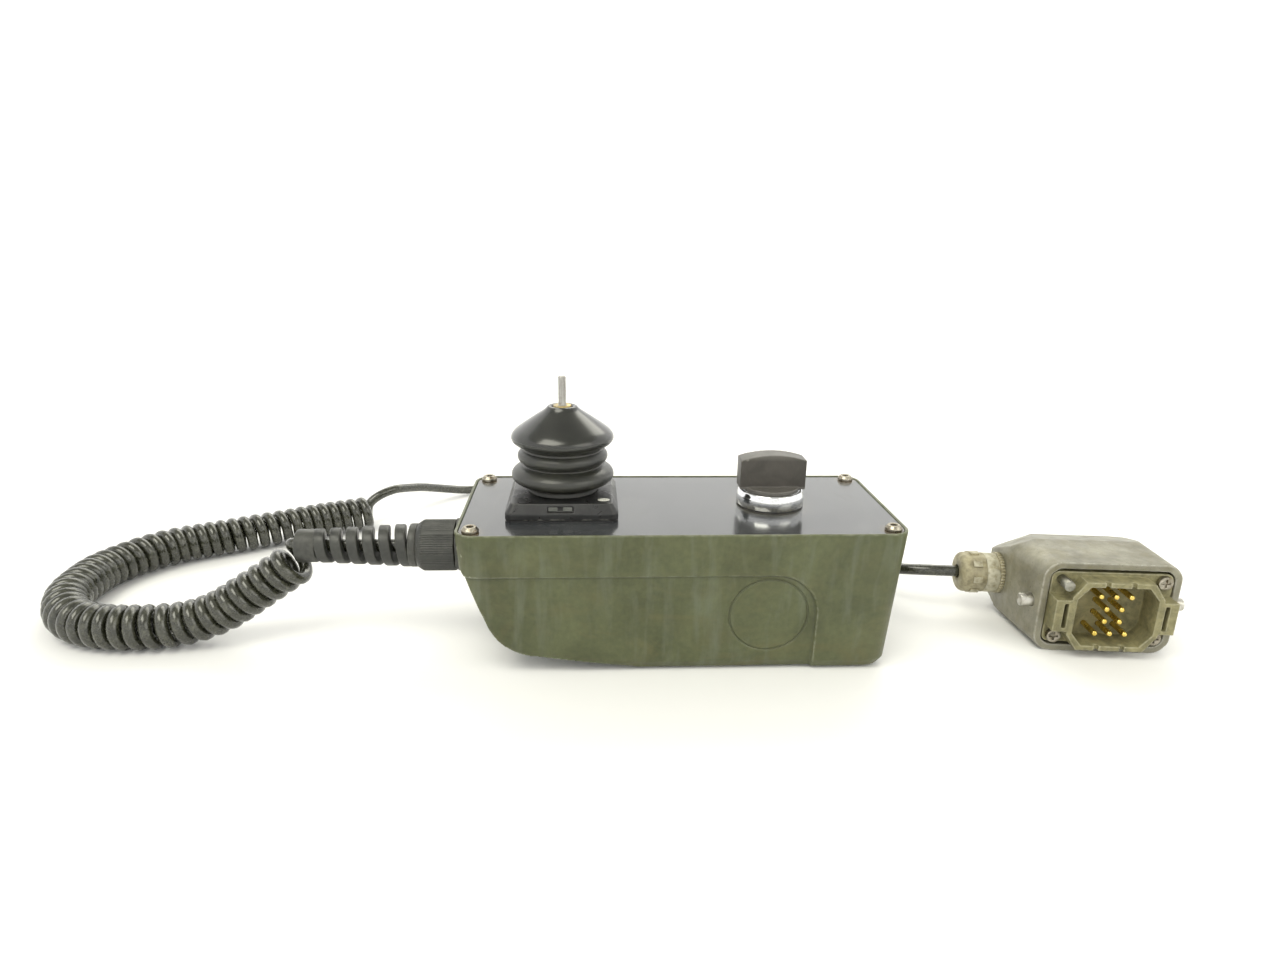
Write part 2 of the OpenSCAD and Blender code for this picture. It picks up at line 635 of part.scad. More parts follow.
// Raised collar of the insert, an octagon set in by the given amount
module collar_outline(t) {
    x1 = 14.6 - t;
    x2 = 19.6 - t;
    z1 = 9 - 0.4 * t;
    z2 = 16.2 - t;
    polygon([[-x1, -z2], [x1, -z2], [x2, -z1], [x2, z1], [x1, z2], [-x1, z2], [-x2, z1], [-x2, -z1]]);
}
module across(y0, y1, z) {
    translate([0, y1, z]) rotate([90, 0, 0]) linear_extrude(y1 - y0) children();
}
module insert_body() color("#9a9464") at_connector() difference() {
    union() {
        across(insert_front, 14, insert_z) collar_outline(0);
        for (s = [-1, 1]) translate([s * 22.25, insert_front + 11, insert_z])
            cube([7.9, 22, 15], center = true);
        across(0.5, 12, hood_mid) round_rect(52.6, 34, 3);
    }
    across(insert_front - 1, socket_floor, insert_z) collar_outline(2.2);
    for (s = [-1, 1]) translate([s * 21.6 - 0.9, insert_front - 1, insert_z - 5.8]) cube([1.8, 10, 11.6]);
    // Notches in the collar's rim
    for (s = [-1, 1]) translate([s * 5.5 - 1, insert_front - 1, insert_z - 20]) cube([2, 3, 40]);
    translate([0, 0, hood_mid]) for (i = [-1, 1], j = [-1, 1]) translate([i * fixing_x, 0, j * fixing_z])
        rotate([90, 0, 0]) cylinder(h = 40, r = 1.9, center = true);
    contact_places() cylinder(h = 60, r = contact_r, center = true);
}

// Rows of three, two, two and three contacts
module contact_places() {
    for (row = [0 : 3]) {
        count = row == 0 || row == 3 ? 3 : 2;
        for (i = [0 : count - 1])
            translate([(i - (count - 1) / 2) * contact_pitch, 0, insert_z + (1.5 - row) * row_pitch])
                rotate([90, 0, 0]) children();
    }
}
module contact_pins() color("#d9c45a") at_connector() contact_places() {
    translate([0, 0, -18]) cylinder(h = 18 - contact_tip - 0.6, r = contact_r);
    translate([0, 0, -contact_tip - 0.6]) cylinder(h = 0.6, r1 = contact_r, r2 = contact_r - 0.5);
}

module insert_screws() color("#a9a291") at_connector()
    for (p = [[1, 1], [-1, -1], [1, -1]]) translate([p[0] * fixing_x, 0, hood_mid + p[1] * fixing_z])
        rotate([90, 0, 0]) difference() {
            union() {
                translate([0, 0, -14]) cylinder(h = 14, r = 1.85);
                translate([0, 0, -0.5]) cylinder(h = 2.2, r = 3.1);
            }
            for (a = [0, 90]) rotate([0, 0, a]) translate([-2, -0.4, 0.9]) cube([4, 0.8, 2]);
        }

module coding_pin() color("#8f9288") at_connector() translate([-fixing_x, 0, hood_mid + fixing_z])
    rotate([90, 0, 0]) translate([0, 0, -14]) {
        cylinder(h = 14, r = 1.85);
        translate([0, 0, 13.5]) cylinder(h = 8.5, r = 2.3);
    }

housing_shell();
panel_gasket();
top_panel();
panel_screws();
screw_inserts();
joystick_flange();
flange_gasket();
flange_screws();
joystick_frame();
gimbal_yoke();
yoke_pins();
lever_shaft();
lever_pin();
lever_rod();
return_spring();
microswitches();
boot();
boot_ring();
selector_bezel();
bezel_gasket();
selector_barrel();
selector_nut();
switch_carrier();
selector_handle();
selector_shaft();
contact_blocks();
terminal_block();
gland_body();
gland_locknut();
gland_bush();
gland_nut();
spiral_relief();
cord_lead();
cord_coil();
cord_tail();
connector_hood();
locking_pegs();
hood_gland_ring();
hood_gland_body();
hood_gland_nut();
hood_gland_bush();
insert_body();
contact_pins();
insert_screws();
coding_pin();
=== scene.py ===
import json
import math

import bmesh
import bpy
from mathutils import Euler, Matrix, Vector


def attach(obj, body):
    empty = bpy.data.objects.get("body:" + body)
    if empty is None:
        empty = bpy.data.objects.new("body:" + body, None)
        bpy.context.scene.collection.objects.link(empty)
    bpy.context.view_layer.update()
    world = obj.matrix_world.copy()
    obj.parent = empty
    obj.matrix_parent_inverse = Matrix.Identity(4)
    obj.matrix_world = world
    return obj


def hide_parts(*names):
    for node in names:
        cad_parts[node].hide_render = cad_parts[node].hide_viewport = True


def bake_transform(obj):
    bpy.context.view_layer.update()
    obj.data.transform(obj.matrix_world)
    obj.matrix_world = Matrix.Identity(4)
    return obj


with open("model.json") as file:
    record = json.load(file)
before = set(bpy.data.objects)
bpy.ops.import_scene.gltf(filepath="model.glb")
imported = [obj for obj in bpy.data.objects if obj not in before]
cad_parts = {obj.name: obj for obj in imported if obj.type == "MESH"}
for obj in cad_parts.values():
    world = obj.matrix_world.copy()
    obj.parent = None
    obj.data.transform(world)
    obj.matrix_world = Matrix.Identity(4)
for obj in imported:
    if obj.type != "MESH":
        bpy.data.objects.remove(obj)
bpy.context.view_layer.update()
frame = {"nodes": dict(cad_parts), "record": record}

MM = 0.001
nodes = frame["nodes"]

# Places and sizes in mm, in the frame's own axes.
STICK = (-50, 0, 0)
SELECTOR = (41.5, 0, 0)
GLAND = (0, 0, 44)
PANEL_SCREW = (86, 34)
ROUND_MARK = (36, 26.5)
ROUND_MARK_R = 16.55
BOOT_WAIST_Z = 88.6


# ---------------------------------------------------------------- camera
def make_camera():
    data = bpy.data.cameras.new("camera")
    cam = bpy.data.objects.new("camera", data)
    bpy.context.scene.collection.objects.link(cam)
    cam.location = Vector((-38.5, -345.8, 183.8)) * MM
    turn = (
        Matrix.Rotation(math.radians(-3.65), 4, "Z")
        @ Matrix.Rotation(math.radians(72.41), 4, "X")
        @ Matrix.Rotation(math.radians(1.03), 4, "Z")
    )
    cam.rotation_euler = turn.to_euler()
    data.sensor_width = 36
    data.lens = 23.34
    data.clip_start = 0.01
    data.clip_end = 20
    bpy.context.scene.camera = cam


make_camera()


# ---------------------------------------------------------------- node materials
class Nodes:
    """A small helper that builds a node material step by step."""

    def __init__(self, name):
        self.mat = bpy.data.materials.new(name)
        self.mat.use_nodes = True
        self.tree = self.mat.node_tree
        self.shader = self.tree.nodes["Principled BSDF"]
        self.coord = self.new("ShaderNodeTexCoord").outputs["Object"]

    def new(self, kind, **values):
        n = self.tree.nodes.new(kind)
        for key, value in values.items():
            setattr(n, key, value)
        return n

    def link(self, a, b):
        self.tree.links.new(a, b)

    def noise(self, scale, detail=4.0, rough=0.55, distort=0.0, stretch=None):
        n = self.new("ShaderNodeTexNoise")
        n.inputs["Scale"].default_value = scale
        n.inputs["Detail"].default_value = detail
        n.inputs["Roughness"].default_value = rough
        n.inputs["Distortion"].default_value = distort
        source = self.coord
        if stretch:
            m = self.new("ShaderNodeMapping")
            m.inputs["Scale"].default_value = stretch
            self.link(self.coord, m.inputs["Vector"])
            source = m.outputs["Vector"]
        self.link(source, n.inputs["Vector"])
        return n.outputs["Fac"]

    def ramp(self, source, stops):
        n = self.new("ShaderNodeValToRGB")
        ramp = n.color_ramp
        while len(ramp.elements) < len(stops):
            ramp.elements.new(0.5)
        for element, (place, colour) in zip(ramp.elements, stops):
            element.position = place
            element.color = grey(colour)
        self.link(source, n.inputs["Fac"])
        return n.outputs["Color"]

    def remap(self, source, low, high, out_low, out_high):
        n = self.new("ShaderNodeMapRange")
        for slot, value in zip(range(1, 5), (low, high, out_low, out_high)):
            n.inputs[slot].default_value = value
        self.link(source, n.inputs[0])
        return n.outputs[0]

    def math(self, kind, a, b):
        n = self.new("ShaderNodeMath", operation=kind, use_clamp=kind != "SUBTRACT")
        for slot, value in enumerate((a, b)):
            if isinstance(value, (int, float)):
                n.inputs[slot].default_value = value
            else:
                self.link(value, n.inputs[slot])
        return n.outputs[0]

    def mix(self, factor, a, b, kind="MIX"):
        n = self.new("ShaderNodeMix", data_type="RGBA", blend_type=kind)
        for slot, value in ((0, factor), (6, a), (7, b)):
            if isinstance(value, (int, float)):
                n.inputs[slot].default_value = value
            elif isinstance(value, tuple):
                n.inputs[slot].default_value = grey(value)
            else:
                self.link(value, n.inputs[slot])
        return n.outputs[2]

    def edges(self, low=0.52, high=0.6):
        """Bright on the convex edges of a mesh, for wear."""
        point = self.new("ShaderNodeNewGeometry").outputs["Pointiness"]
        return self.remap(point, low, high, 0, 1)

    def axes(self):
        split = self.new("ShaderNodeSeparateXYZ")
        self.link(self.coord, split.inputs[0])
        return split.outputs

    def height(self):
        return self.axes()[2]

    def absolute(self, source):
        n = self.new("ShaderNodeMath", operation="ABSOLUTE")
        self.link(source, n.inputs[0])
        return n.outputs[0]

    def distance(self, across, along, place, mirror=False):
        """Metres from a place in mm, along two of the axes, or from its nearest mirror image."""
        axes = self.axes()
        offset = self.new("ShaderNodeCombineXYZ")
        for slot, (axis, at) in enumerate(zip((across, along), place)):
            value = self.absolute(axes[axis]) if mirror else axes[axis]
            self.link(self.math("SUBTRACT", value, at * MM), offset.inputs[slot])
        return self.length(offset.outputs[0])

    def length(self, vector):
        n = self.new("ShaderNodeVectorMath", operation="LENGTH")
        self.link(vector, n.inputs[0])
        return n.outputs["Value"]

    def bump(self, *layers):
        """layers are (source, strength, distance in metres)."""
        last = None
        for source, strength, distance in layers:
            n = self.new("ShaderNodeBump")
            n.inputs["Strength"].default_value = strength
            n.inputs["Distance"].default_value = distance
            self.link(source, n.inputs["Height"])
            if last is not None:
                self.link(last, n.inputs["Normal"])
            last = n.outputs["Normal"]
        self.link(last, self.shader.inputs["Normal"])

    def done(self, colour, rough, **constant):
        self.link(colour, self.shader.inputs["Base Color"])
        if isinstance(rough, (int, float)):
            self.shader.inputs["Roughness"].default_value = rough
        else:
            self.link(rough, self.shader.inputs["Roughness"])
        for key, value in constant.items():
            self.shader.inputs[key.replace("_", " ")].default_value = value
        return self.mat


def grey(c):
    if isinstance(c, (int, float)):
        return (c, c, c, 1)
    return (*c[:3], 1)


def plastic(name, base, other, rough, scale=160, bump=0.25, wear=None):
    """Aged plastic or painted metal: two tones in soft blotches, fine grain, and paler edges."""
    grain = 900
    spread = 0.12
    n = Nodes(name)
    blotch = n.ramp(n.noise(scale, 6, 0.6, 0.6), [(0.35, base), (0.68, other)])
    speck = n.ramp(n.noise(grain, 3), [(0.3, 0.8), (0.7, 1.0)])
    colour = n.mix(1.0, blotch, speck, "MULTIPLY")
    if wear:
        worn = n.math("MULTIPLY", n.edges(), n.remap(n.noise(400, 4), 0.35, 0.6, 0.2, 1))
        colour = n.mix(worn, colour, wear)
    smudge = n.remap(n.noise(scale * 0.7, 5, 0.6, 1.0), 0.3, 0.7, rough - spread, rough + spread)
    n.bump((n.noise(grain, 4), bump, 0.0001), (n.noise(scale * 0.5, 3), bump * 0.6, 0.0004))
    return n.done(colour, smudge)


def metal(name, base, other, rough, spread=0.1, stain=None):
    """Bare metal with a fine grain, and tarnish in blotches."""
    scale = 220
    n = Nodes(name)
    colour = n.ramp(n.noise(scale, 6, 0.65, 0.8), [(0.35, base), (0.7, other)])
    if stain:
        spots = n.remap(n.noise(scale * 2.2, 5, 0.7), 0.56, 0.7, 0, 0.9)
        colour = n.mix(spots, colour, stain)
    grain = n.noise(1.0, 2, 0.5, 0, (900, 900, 900))
    n.bump((grain, 0.2, 0.00006), (n.noise(scale, 4), 0.15, 0.0002))
    level = n.remap(n.noise(scale * 1.3, 4), 0.3, 0.7, rough - spread, rough + spread)
    return n.done(colour, level, Metallic=1.0)


# ---------------------------------------------------------------- materials
def housing_paint():
    """Olive moulded plastic: mottled, with yellowish stains low down and paler rubbed edges."""
    n = Nodes("housing")
    olive = [(0.3, (0.046, 0.052, 0.016)), (0.7, (0.096, 0.108, 0.044))]
    cloud = n.ramp(n.noise(34, 7, 0.62, 0.8), olive)
    fine = n.ramp(n.noise(420, 5, 0.6), [(0.3, 0.78), (0.66, 1.0)])
    colour = n.mix(1.0, cloud, fine, "MULTIPLY")
    stain = n.remap(n.noise(22, 6, 0.7, 1.2, (1, 1, 2.4)), 0.47, 0.68, 0, 0.6)
    low = n.remap(n.height(), 0.0, 0.06, 1.0, 0.25)
    colour = n.mix(n.math("MULTIPLY", stain, low), colour, (0.105, 0.094, 0.034))
    drip = n.remap(n.noise(1.0, 4, 0.6, 0.3, (150, 150, 22)), 0.5, 0.72, 0, 0.4)
    colour = n.mix(drip, colour, (0.13, 0.148, 0.105))
    worn = n.math("MULTIPLY", n.edges(0.505, 0.56), n.remap(n.noise(240, 5, 0.65), 0.4, 0.62, 0.1, 0.9))
    colour = n.mix(worn, colour, (0.26, 0.265, 0.19))
    # darker in the concave hollows
    hollow_dark = n.math("MULTIPLY", n.edges(0.495, 0.46), n.remap(n.noise(90, 4), 0.3, 0.6, 0.3, 0.8))
    colour = n.mix(hollow_dark, colour, (0.04, 0.042, 0.026))
    groove = round_groove(n)
    # painted shade: the thin groove ring of the round mark is painted darker
    colour = n.mix(n.math("MULTIPLY", groove, 0.28), colour, (0.03, 0.033, 0.014))
    rough = n.remap(n.noise(60, 6, 0.65, 0.5), 0.3, 0.7, 0.34, 0.52)
    n.bump(
        (n.math("SUBTRACT", 1.0, groove), 0.7, 0.0004),
        (n.noise(1500, 3), 0.25, 0.00006),
        (n.noise(210, 5, 0.6), 0.25, 0.00022),
        (n.noise(28, 2), 0.3, 0.001),
    )
    return n.done(colour, rough, Specular_IOR_Level=0.5)


def round_groove(n):
    """1 on the thin ring of the round mark, on the front face only, and 0 elsewhere."""
    off = n.absolute(n.math("SUBTRACT", n.distance(0, 2, ROUND_MARK), ROUND_MARK_R * MM))
    ring = n.remap(off, 0.0002, 0.0006, 1, 0)
    return n.math("MULTIPLY", ring, n.remap(n.axes()[1], -0.03, -0.034, 0, 1))


def panel_gloss():
    """Black gloss sheet, hazy with handling, dusty round the parts that stand on it."""
    n = Nodes("panel")
    base = n.ramp(n.noise(40, 5), [(0.3, (0.026, 0.028, 0.031)), (0.7, (0.042, 0.045, 0.048))])
    haze = n.remap(n.noise(25, 6, 0.65, 0.8), 0.5, 0.72, 0, 0.45)
    colour = n.mix(haze, base, (0.085, 0.088, 0.085))
    dust = n.remap(n.noise(1500, 2), 0.68, 0.76, 0, 0.6)
    colour = n.mix(dust, colour, (0.2, 0.19, 0.15))
    rim = n.remap(n.distance(0, 1, PANEL_SCREW, mirror=True), 0.0036, 0.0062, 0.9, 0)
    rim = n.math("MULTIPLY", rim, n.remap(n.noise(500, 4), 0.3, 0.6, 0.3, 1))
    colour = n.mix(rim, colour, (0.11, 0.075, 0.035))
    ring = n.remap(n.distance(0, 1, SELECTOR[:2]), 0.0148, 0.0205, 0.7, 0)
    ring = n.math("MULTIPLY", ring, n.remap(n.noise(700, 5, 0.7), 0.35, 0.65, 0, 1))
    colour = n.mix(ring, colour, (0.15, 0.135, 0.095))
    wipe = n.remap(n.noise(1.0, 4, 0.6, 0.3, (45, 16, 20)), 0.5, 0.66, 0, 1)
    rough = n.math("ADD", n.math("MULTIPLY", haze, 0.12), n.math("MULTIPLY", wipe, 0.12))
    rough = n.math("ADD", rough, 0.13)
    n.bump((n.noise(700, 3), 0.06, 0.00004), (n.noise(50, 2), 0.1, 0.0001))
    return n.done(colour, rough, IOR=1.62, Coat_Weight=0.55, Coat_Roughness=0.17)


def cord_sheath():
    """Dark olive-grey sheath, smooth and shiny, with dry dust on the turns."""
    n = Nodes("cord")
    base = n.ramp(n.noise(120, 6, 0.6, 0.6), [(0.3, (0.013, 0.014, 0.008)), (0.7, (0.034, 0.035, 0.022))])
    dust = n.remap(n.noise(420, 6, 0.7), 0.5, 0.72, 0, 0.55)
    colour = n.mix(dust, base, (0.12, 0.12, 0.088))
    rough = n.remap(n.noise(300, 5, 0.6), 0.3, 0.7, 0.16, 0.34)
    n.bump((n.noise(700, 4), 0.2, 0.00008), (n.noise(160, 3), 0.25, 0.0003))
    return n.done(colour, rough, IOR=1.5, Coat_Weight=0.6, Coat_Roughness=0.12)


def boot_skin():
    """Rubber with olive dust in the valleys and a shinier dark cone on top."""
    n = Nodes("boot_rubber")
    base = n.ramp(n.noise(90, 5), [(0.3, (0.008, 0.0085, 0.007)), (0.7, (0.015, 0.016, 0.013))])
    dusty = n.remap(n.noise(180, 6, 0.65, 0.8), 0.4, 0.66, 0.1, 0.8)
    below = n.remap(n.height(), 0.088, 0.096, 1.0, 0.16)
    colour = n.mix(n.math("MULTIPLY", dusty, below), base, (0.02, 0.02, 0.012))
    rough = n.remap(n.height(), 0.088, 0.095, 0.5, 0.24)
    n.bump((n.noise(1300, 3), 0.15, 0.00005), (n.noise(160, 3), 0.12, 0.0001))
    return n.done(colour, rough, IOR=1.5, Coat_Weight=0.45, Coat_Roughness=0.18)


def insert_dust():
    """Khaki moulding with dry dust that lies thicker in the corners."""
    n = Nodes("insert_plastic")
    base = n.ramp(n.noise(130, 6, 0.65, 0.8), [(0.3, (0.125, 0.115, 0.055)), (0.7, (0.28, 0.255, 0.13))])
    dark = n.remap(n.noise(300, 6, 0.7), 0.5, 0.7, 0, 0.6)
    colour = n.mix(dark, base, (0.07, 0.062, 0.035))
    pale = n.math("MULTIPLY", n.edges(0.505, 0.56), n.remap(n.noise(500, 4), 0.35, 0.6, 0.2, 0.9))
    colour = n.mix(pale, colour, (0.42, 0.4, 0.28))
    n.bump((n.noise(900, 5), 0.4, 0.00012), (n.noise(200, 4), 0.3, 0.0003))
    return n.done(colour, n.remap(n.noise(200, 4), 0.3, 0.7, 0.55, 0.8))


def hood_cast():
    """Painted die-casting, worn grey, with khaki stains and bright rubbed rims."""
    n = Nodes("hood_metal")
    base = n.ramp(n.noise(70, 7, 0.65, 0.1), [(0.3, (0.115, 0.108, 0.076)), (0.7, (0.29, 0.276, 0.205))])
    stain = n.remap(n.noise(110, 6, 0.7, 0.1), 0.5, 0.68, 0, 0.6)
    colour = n.mix(stain, base, (0.16, 0.14, 0.07))
    pit = n.remap(n.noise(900, 4), 0.62, 0.72, 0, 0.6)
    colour = n.mix(pit, colour, (0.06, 0.055, 0.04))
    bare = n.math("MULTIPLY", n.edges(0.51, 0.57), n.remap(n.noise(320, 5, 0.65), 0.35, 0.6, 0.15, 1))
    colour = n.mix(bare, colour, (0.55, 0.54, 0.49))
    metallic = n.math("MULTIPLY", bare, 0.6)
    n.link(metallic, n.shader.inputs["Metallic"])
    n.bump((n.noise(1100, 4), 0.3, 0.0001), (n.noise(240, 5), 0.35, 0.0003))
    return n.done(colour, n.remap(n.noise(160, 5), 0.3, 0.7, 0.3, 0.52))


def handle_skin():
    """Dark brown-grey moulding with a paler disc at its foot and rubbed edges."""
    n = Nodes("handle_plastic")
    base = n.ramp(n.noise(120, 6, 0.6, 0.5), [(0.3, (0.034, 0.03, 0.025)), (0.7, (0.062, 0.056, 0.047))])
    disc = n.remap(n.height(), 0.0719, 0.0724, 0.75, 0)
    colour = n.mix(disc, base, (0.115, 0.11, 0.1))
    worn = n.math("MULTIPLY", n.edges(0.51, 0.58), n.remap(n.noise(420, 5), 0.35, 0.6, 0.2, 0.9))
    colour = n.mix(worn, colour, (0.17, 0.16, 0.14))
    top = n.remap(n.height(), 0.0838, 0.0856, 0, 0.55)
    colour = n.mix(top, colour, (0.13, 0.125, 0.11))
    n.bump((n.noise(1300, 3), 0.3, 0.00008), (n.noise(150, 4), 0.2, 0.0002))
    return n.done(colour, n.remap(n.noise(140, 5), 0.3, 0.7, 0.34, 0.5))


def tarnished_rod():
    """Drawn steel with lengthwise streaks and small brown spots."""
    n = Nodes("rod_steel")
    streaks = n.noise(1.0, 5, 0.6, 0.3, (700, 700, 90))
    colour = n.ramp(streaks, [(0.3, (0.24, 0.23, 0.21)), (0.7, (0.5, 0.49, 0.46))])
    spots = n.remap(n.noise(900, 5, 0.7), 0.55, 0.66, 0, 0.8)
    colour = n.mix(spots, colour, (0.16, 0.12, 0.08))
    scratches = n.noise(1.0, 3, 0.5, 0, (2000, 2000, 100))
    n.bump((n.noise(1600, 3), 0.3, 0.00006), (scratches, 0.2, 0.00005))
    return n.done(colour, n.remap(n.noise(700, 4), 0.3, 0.7, 0.25, 0.45), Metallic=1.0)


MATS = {
    "housing": housing_paint(),
    "panel": panel_gloss(),
    "cord": cord_sheath(),
    "boot_rubber": boot_skin(),
    "insert_plastic": insert_dust(),
    "hood_metal": hood_cast(),
    "rod_steel": tarnished_rod(),
    "rubber_black": plastic("rubber_black", 0.02, 0.04, 0.6),
    "screw_steel": metal(
        "screw_steel", (0.24, 0.215, 0.165), (0.46, 0.43, 0.36), 0.34, stain=(0.14, 0.075, 0.035)
    ),
    "brass": metal("brass", (0.36, 0.27, 0.12), (0.55, 0.44, 0.22), 0.35, stain=(0.16, 0.12, 0.06)),
    "steel": metal("steel", (0.34, 0.34, 0.33), (0.56, 0.56, 0.55), 0.3),
    "chrome": metal("chrome", (0.74, 0.75, 0.76), (0.86, 0.87, 0.88), 0.09, 0.05, stain=(0.5, 0.49, 0.45)),
    "peg_metal": metal("peg_metal", (0.42, 0.4, 0.35), (0.66, 0.65, 0.6), 0.34, stain=(0.2, 0.17, 0.11)),
    "contact_gold": metal(
        "contact_gold", (0.62, 0.45, 0.09), (0.86, 0.66, 0.2), 0.22, stain=(0.35, 0.24, 0.07)
    ),
    "coding_metal": metal(
        "coding_metal", (0.2, 0.2, 0.165), (0.36, 0.35, 0.3), 0.42, stain=(0.16, 0.14, 0.08)
    ),
    "black_plastic": plastic("black_plastic", 0.012, 0.024, 0.34, wear=(0.1, 0.1, 0.09)),
    "handle_plastic": handle_skin(),
    "block_plastic": plastic("block_plastic", (0.11, 0.13, 0.11), (0.16, 0.18, 0.15), 0.45),
    "gland_plastic": plastic(
        "gland_plastic", (0.02, 0.021, 0.019), (0.042, 0.043, 0.036), 0.42, wear=(0.1, 0.1, 0.085)
    ),
    "beige_plastic": plastic(
        "beige_plastic", (0.24, 0.21, 0.125), (0.43, 0.385, 0.24), 0.5, 260, 0.4, (0.62, 0.6, 0.48)
    ),
    "mark_paint": plastic("mark_paint", (0.5, 0.5, 0.44), (0.62, 0.62, 0.56), 0.55),
    "window_tile": plastic("window_tile", (0.11, 0.115, 0.105), (0.17, 0.175, 0.16), 0.3),
}


def paint(obj, material):
    obj.data.materials.clear()
    obj.data.materials.append(MATS[material])


for part in frame["record"]["subparts"]:
    paint(nodes[part["node"]], part["material_slot"])
paint(nodes["lever_rod"], "rod_steel")
paint(nodes["coding_pin"], "coding_metal")


# ---------------------------------------------------------------- floor, light and air
def add_object(name, data):
    obj = bpy.data.objects.new(name, data)
    bpy.context.scene.collection.objects.link(obj)
    return obj


def close_mesh(name, bm):
    """A smooth-shaded mesh from bm, which is freed."""
    mesh = bpy.data.meshes.new(name)
    bm.to_mesh(mesh)
    bm.free()
    mesh.polygons.foreach_set("use_smooth", [True] * len(mesh.polygons))
    return mesh


def make_stage():
    """A round floor, in metres, that curves up into a wall on every side."""
    floor_r, bend_r, wall_h = 2.8, 1.2, 4.0
    around = 64
    profile = [(0.05 * i, 0.0) for i in range(1, 5)] + [(0.4 * i, 0.0) for i in range(1, 8)]
    for i in range(1, 11):
        a = math.pi / 2 * i / 10
        profile.append((floor_r + bend_r * math.sin(a), bend_r - bend_r * math.cos(a)))
    profile.append((floor_r + bend_r, wall_h))
    bm = bmesh.new()
    rings = []
    for r, z in profile:
        turns = [2 * math.pi * k / around for k in range(around)]
        rings.append([bm.verts.new((r * math.cos(a), r * math.sin(a), z)) for a in turns])
    bm.faces.new(rings[0])
    for a, b in zip(rings, rings[1:]):
        for k in range(around):
            j = (k + 1) % around
            bm.faces.new((a[k], b[k], b[j], a[j]))
    floor = add_object("floor", close_mesh("floor", bm))
    n = Nodes("floor_paper")
    colour = n.ramp(n.noise(3, 3), [(0.3, 0.86), (0.7, 0.88)])
    out = n.length(n.new("ShaderNodeNewGeometry").outputs["Position"])
    n.link(n.remap(out, 0.7, 3.0, 0, 0.4), n.shader.inputs["Emission Strength"])
    floor.data.materials.append(n.done(colour, 0.6, Emission_Color=(1, 1, 1, 1)))


WARM = (1, 0.985, 0.86)


def area_light(name, place, target, size, power):
    data = bpy.data.lights.new(name, "AREA")
    data.shape = "RECTANGLE"
    data.size, data.size_y = size
    data.energy = power
    data.color = WARM
    light = add_object(name, data)
    light.location = place
    light.rotation_euler = (Vector(target) - Vector(place)).to_track_quat("-Z", "Y").to_euler()


def make_light():
    area_light("key", (-0.5, -0.5, 1.3), (0, 0, 0.03), (0.9, 0.7), 11)
    area_light("fill", (0.9, -0.7, 0.9), (0, 0, 0.03), (0.9, 0.9), 4)
    area_light("back", (0.15, 1.1, 1.1), (0, 0.1, 0.03), (1.6, 0.7), 10.5)
    world = bpy.data.worlds.new("studio")
    world.use_nodes = True
    sky = world.node_tree.nodes["Background"]
    sky.inputs["Color"].default_value = (1, 0.99, 0.92, 1)
    sky.inputs["Strength"].default_value = 0.56
    bpy.context.scene.world = world
    bpy.context.scene.view_settings.view_transform = "Standard"
    bpy.context.scene.view_settings.look = "None"


make_stage()
make_light()


# ---------------------------------------------------------------- mesh helpers
def finish_piece(obj, body, material, stands_for=()):
    paint(obj, material)
    if body:
        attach(obj, body)
    if stands_for:
        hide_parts(*stands_for)
    return obj


def apply_modifiers(obj):
    graph = bpy.context.evaluated_depsgraph_get()
    mesh = bpy.data.meshes.new_from_object(obj.evaluated_get(graph))
    obj.modifiers.clear()
    obj.data = mesh
    mesh.polygons.foreach_set("use_smooth", [True] * len(mesh.polygons))


def soften(node, voxel, rounds, keep, slot, body="root", material=None):
    """A copy of a CAD solid, remeshed finely, smoothed so that its edges round over, and thinned out."""
    obj = add_object(node + "_look", nodes[node].data.copy())
    remesh = obj.modifiers.new("remesh", "REMESH")
    remesh.mode = "VOXEL"
    remesh.voxel_size = voxel * 1 * MM
    smooth = obj.modifiers.new("smooth", "SMOOTH")
    smooth.factor = 0.5
    smooth.iterations = rounds
    thin = obj.modifiers.new("thin", "DECIMATE")
    thin.ratio = keep
    apply_modifiers(obj)
    return finish_piece(obj, body, material or slot, (node,))


def crisp(node, width, slot, body="root", material=None, flat=False):
    """A copy of a CAD solid with a narrow bevel on its sharp edges."""
    obj = add_object(node + "_look", nodes[node].data.copy())
    bm = bmesh.new()
    bm.from_mesh(obj.data)
    bmesh.ops.remove_doubles(bm, verts=bm.verts, dist=0.00001)
    bmesh.ops.dissolve_limit(bm, angle_limit=math.radians(1.5), verts=bm.verts, edges=bm.edges)
    bm.to_mesh(obj.data)
    bm.free()
    bevel = obj.modifiers.new("bevel", "BEVEL")
    bevel.width = width * MM
    bevel.segments = 2
    bevel.limit_method = "ANGLE"
    bevel.angle_limit = math.radians(32)
    bevel.harden_normals = True
    apply_modifiers(obj)
    if flat:
        obj.data.polygons.foreach_set("use_smooth", [False] * len(obj.data.polygons))
    return finish_piece(obj, body, material or slot, (node,))


def lathe(name, profile, place, turn=(0, 0, 0), around=96, shape=None):
    """A solid of revolution about its own Z from a closed (radius, height) outline in mm."""
    bm = bmesh.new()
    rings = []
    for r, z in profile:
        ring = []
        for k in range(around):
            a = 2 * math.pi * k / around
            rr = shape(r, z, a) if shape else r
            ring.append(bm.verts.new((rr * math.cos(a) * MM, rr * math.sin(a) * MM, z * MM)))
        rings.append(ring)
    for a, b in zip(rings, rings[1:] + rings[:1]):
        for k in range(around):
            j = (k + 1) % around
            bm.faces.new((a[k], a[j], b[j], b[k]))
    bmesh.ops.recalc_face_normals(bm, faces=bm.faces)
    spin = Euler([math.radians(v) for v in turn]).to_matrix().to_4x4()
    bm.transform(Matrix.Translation(Vector(place) * MM) @ spin)
    return add_object(name, close_mesh(name, bm))


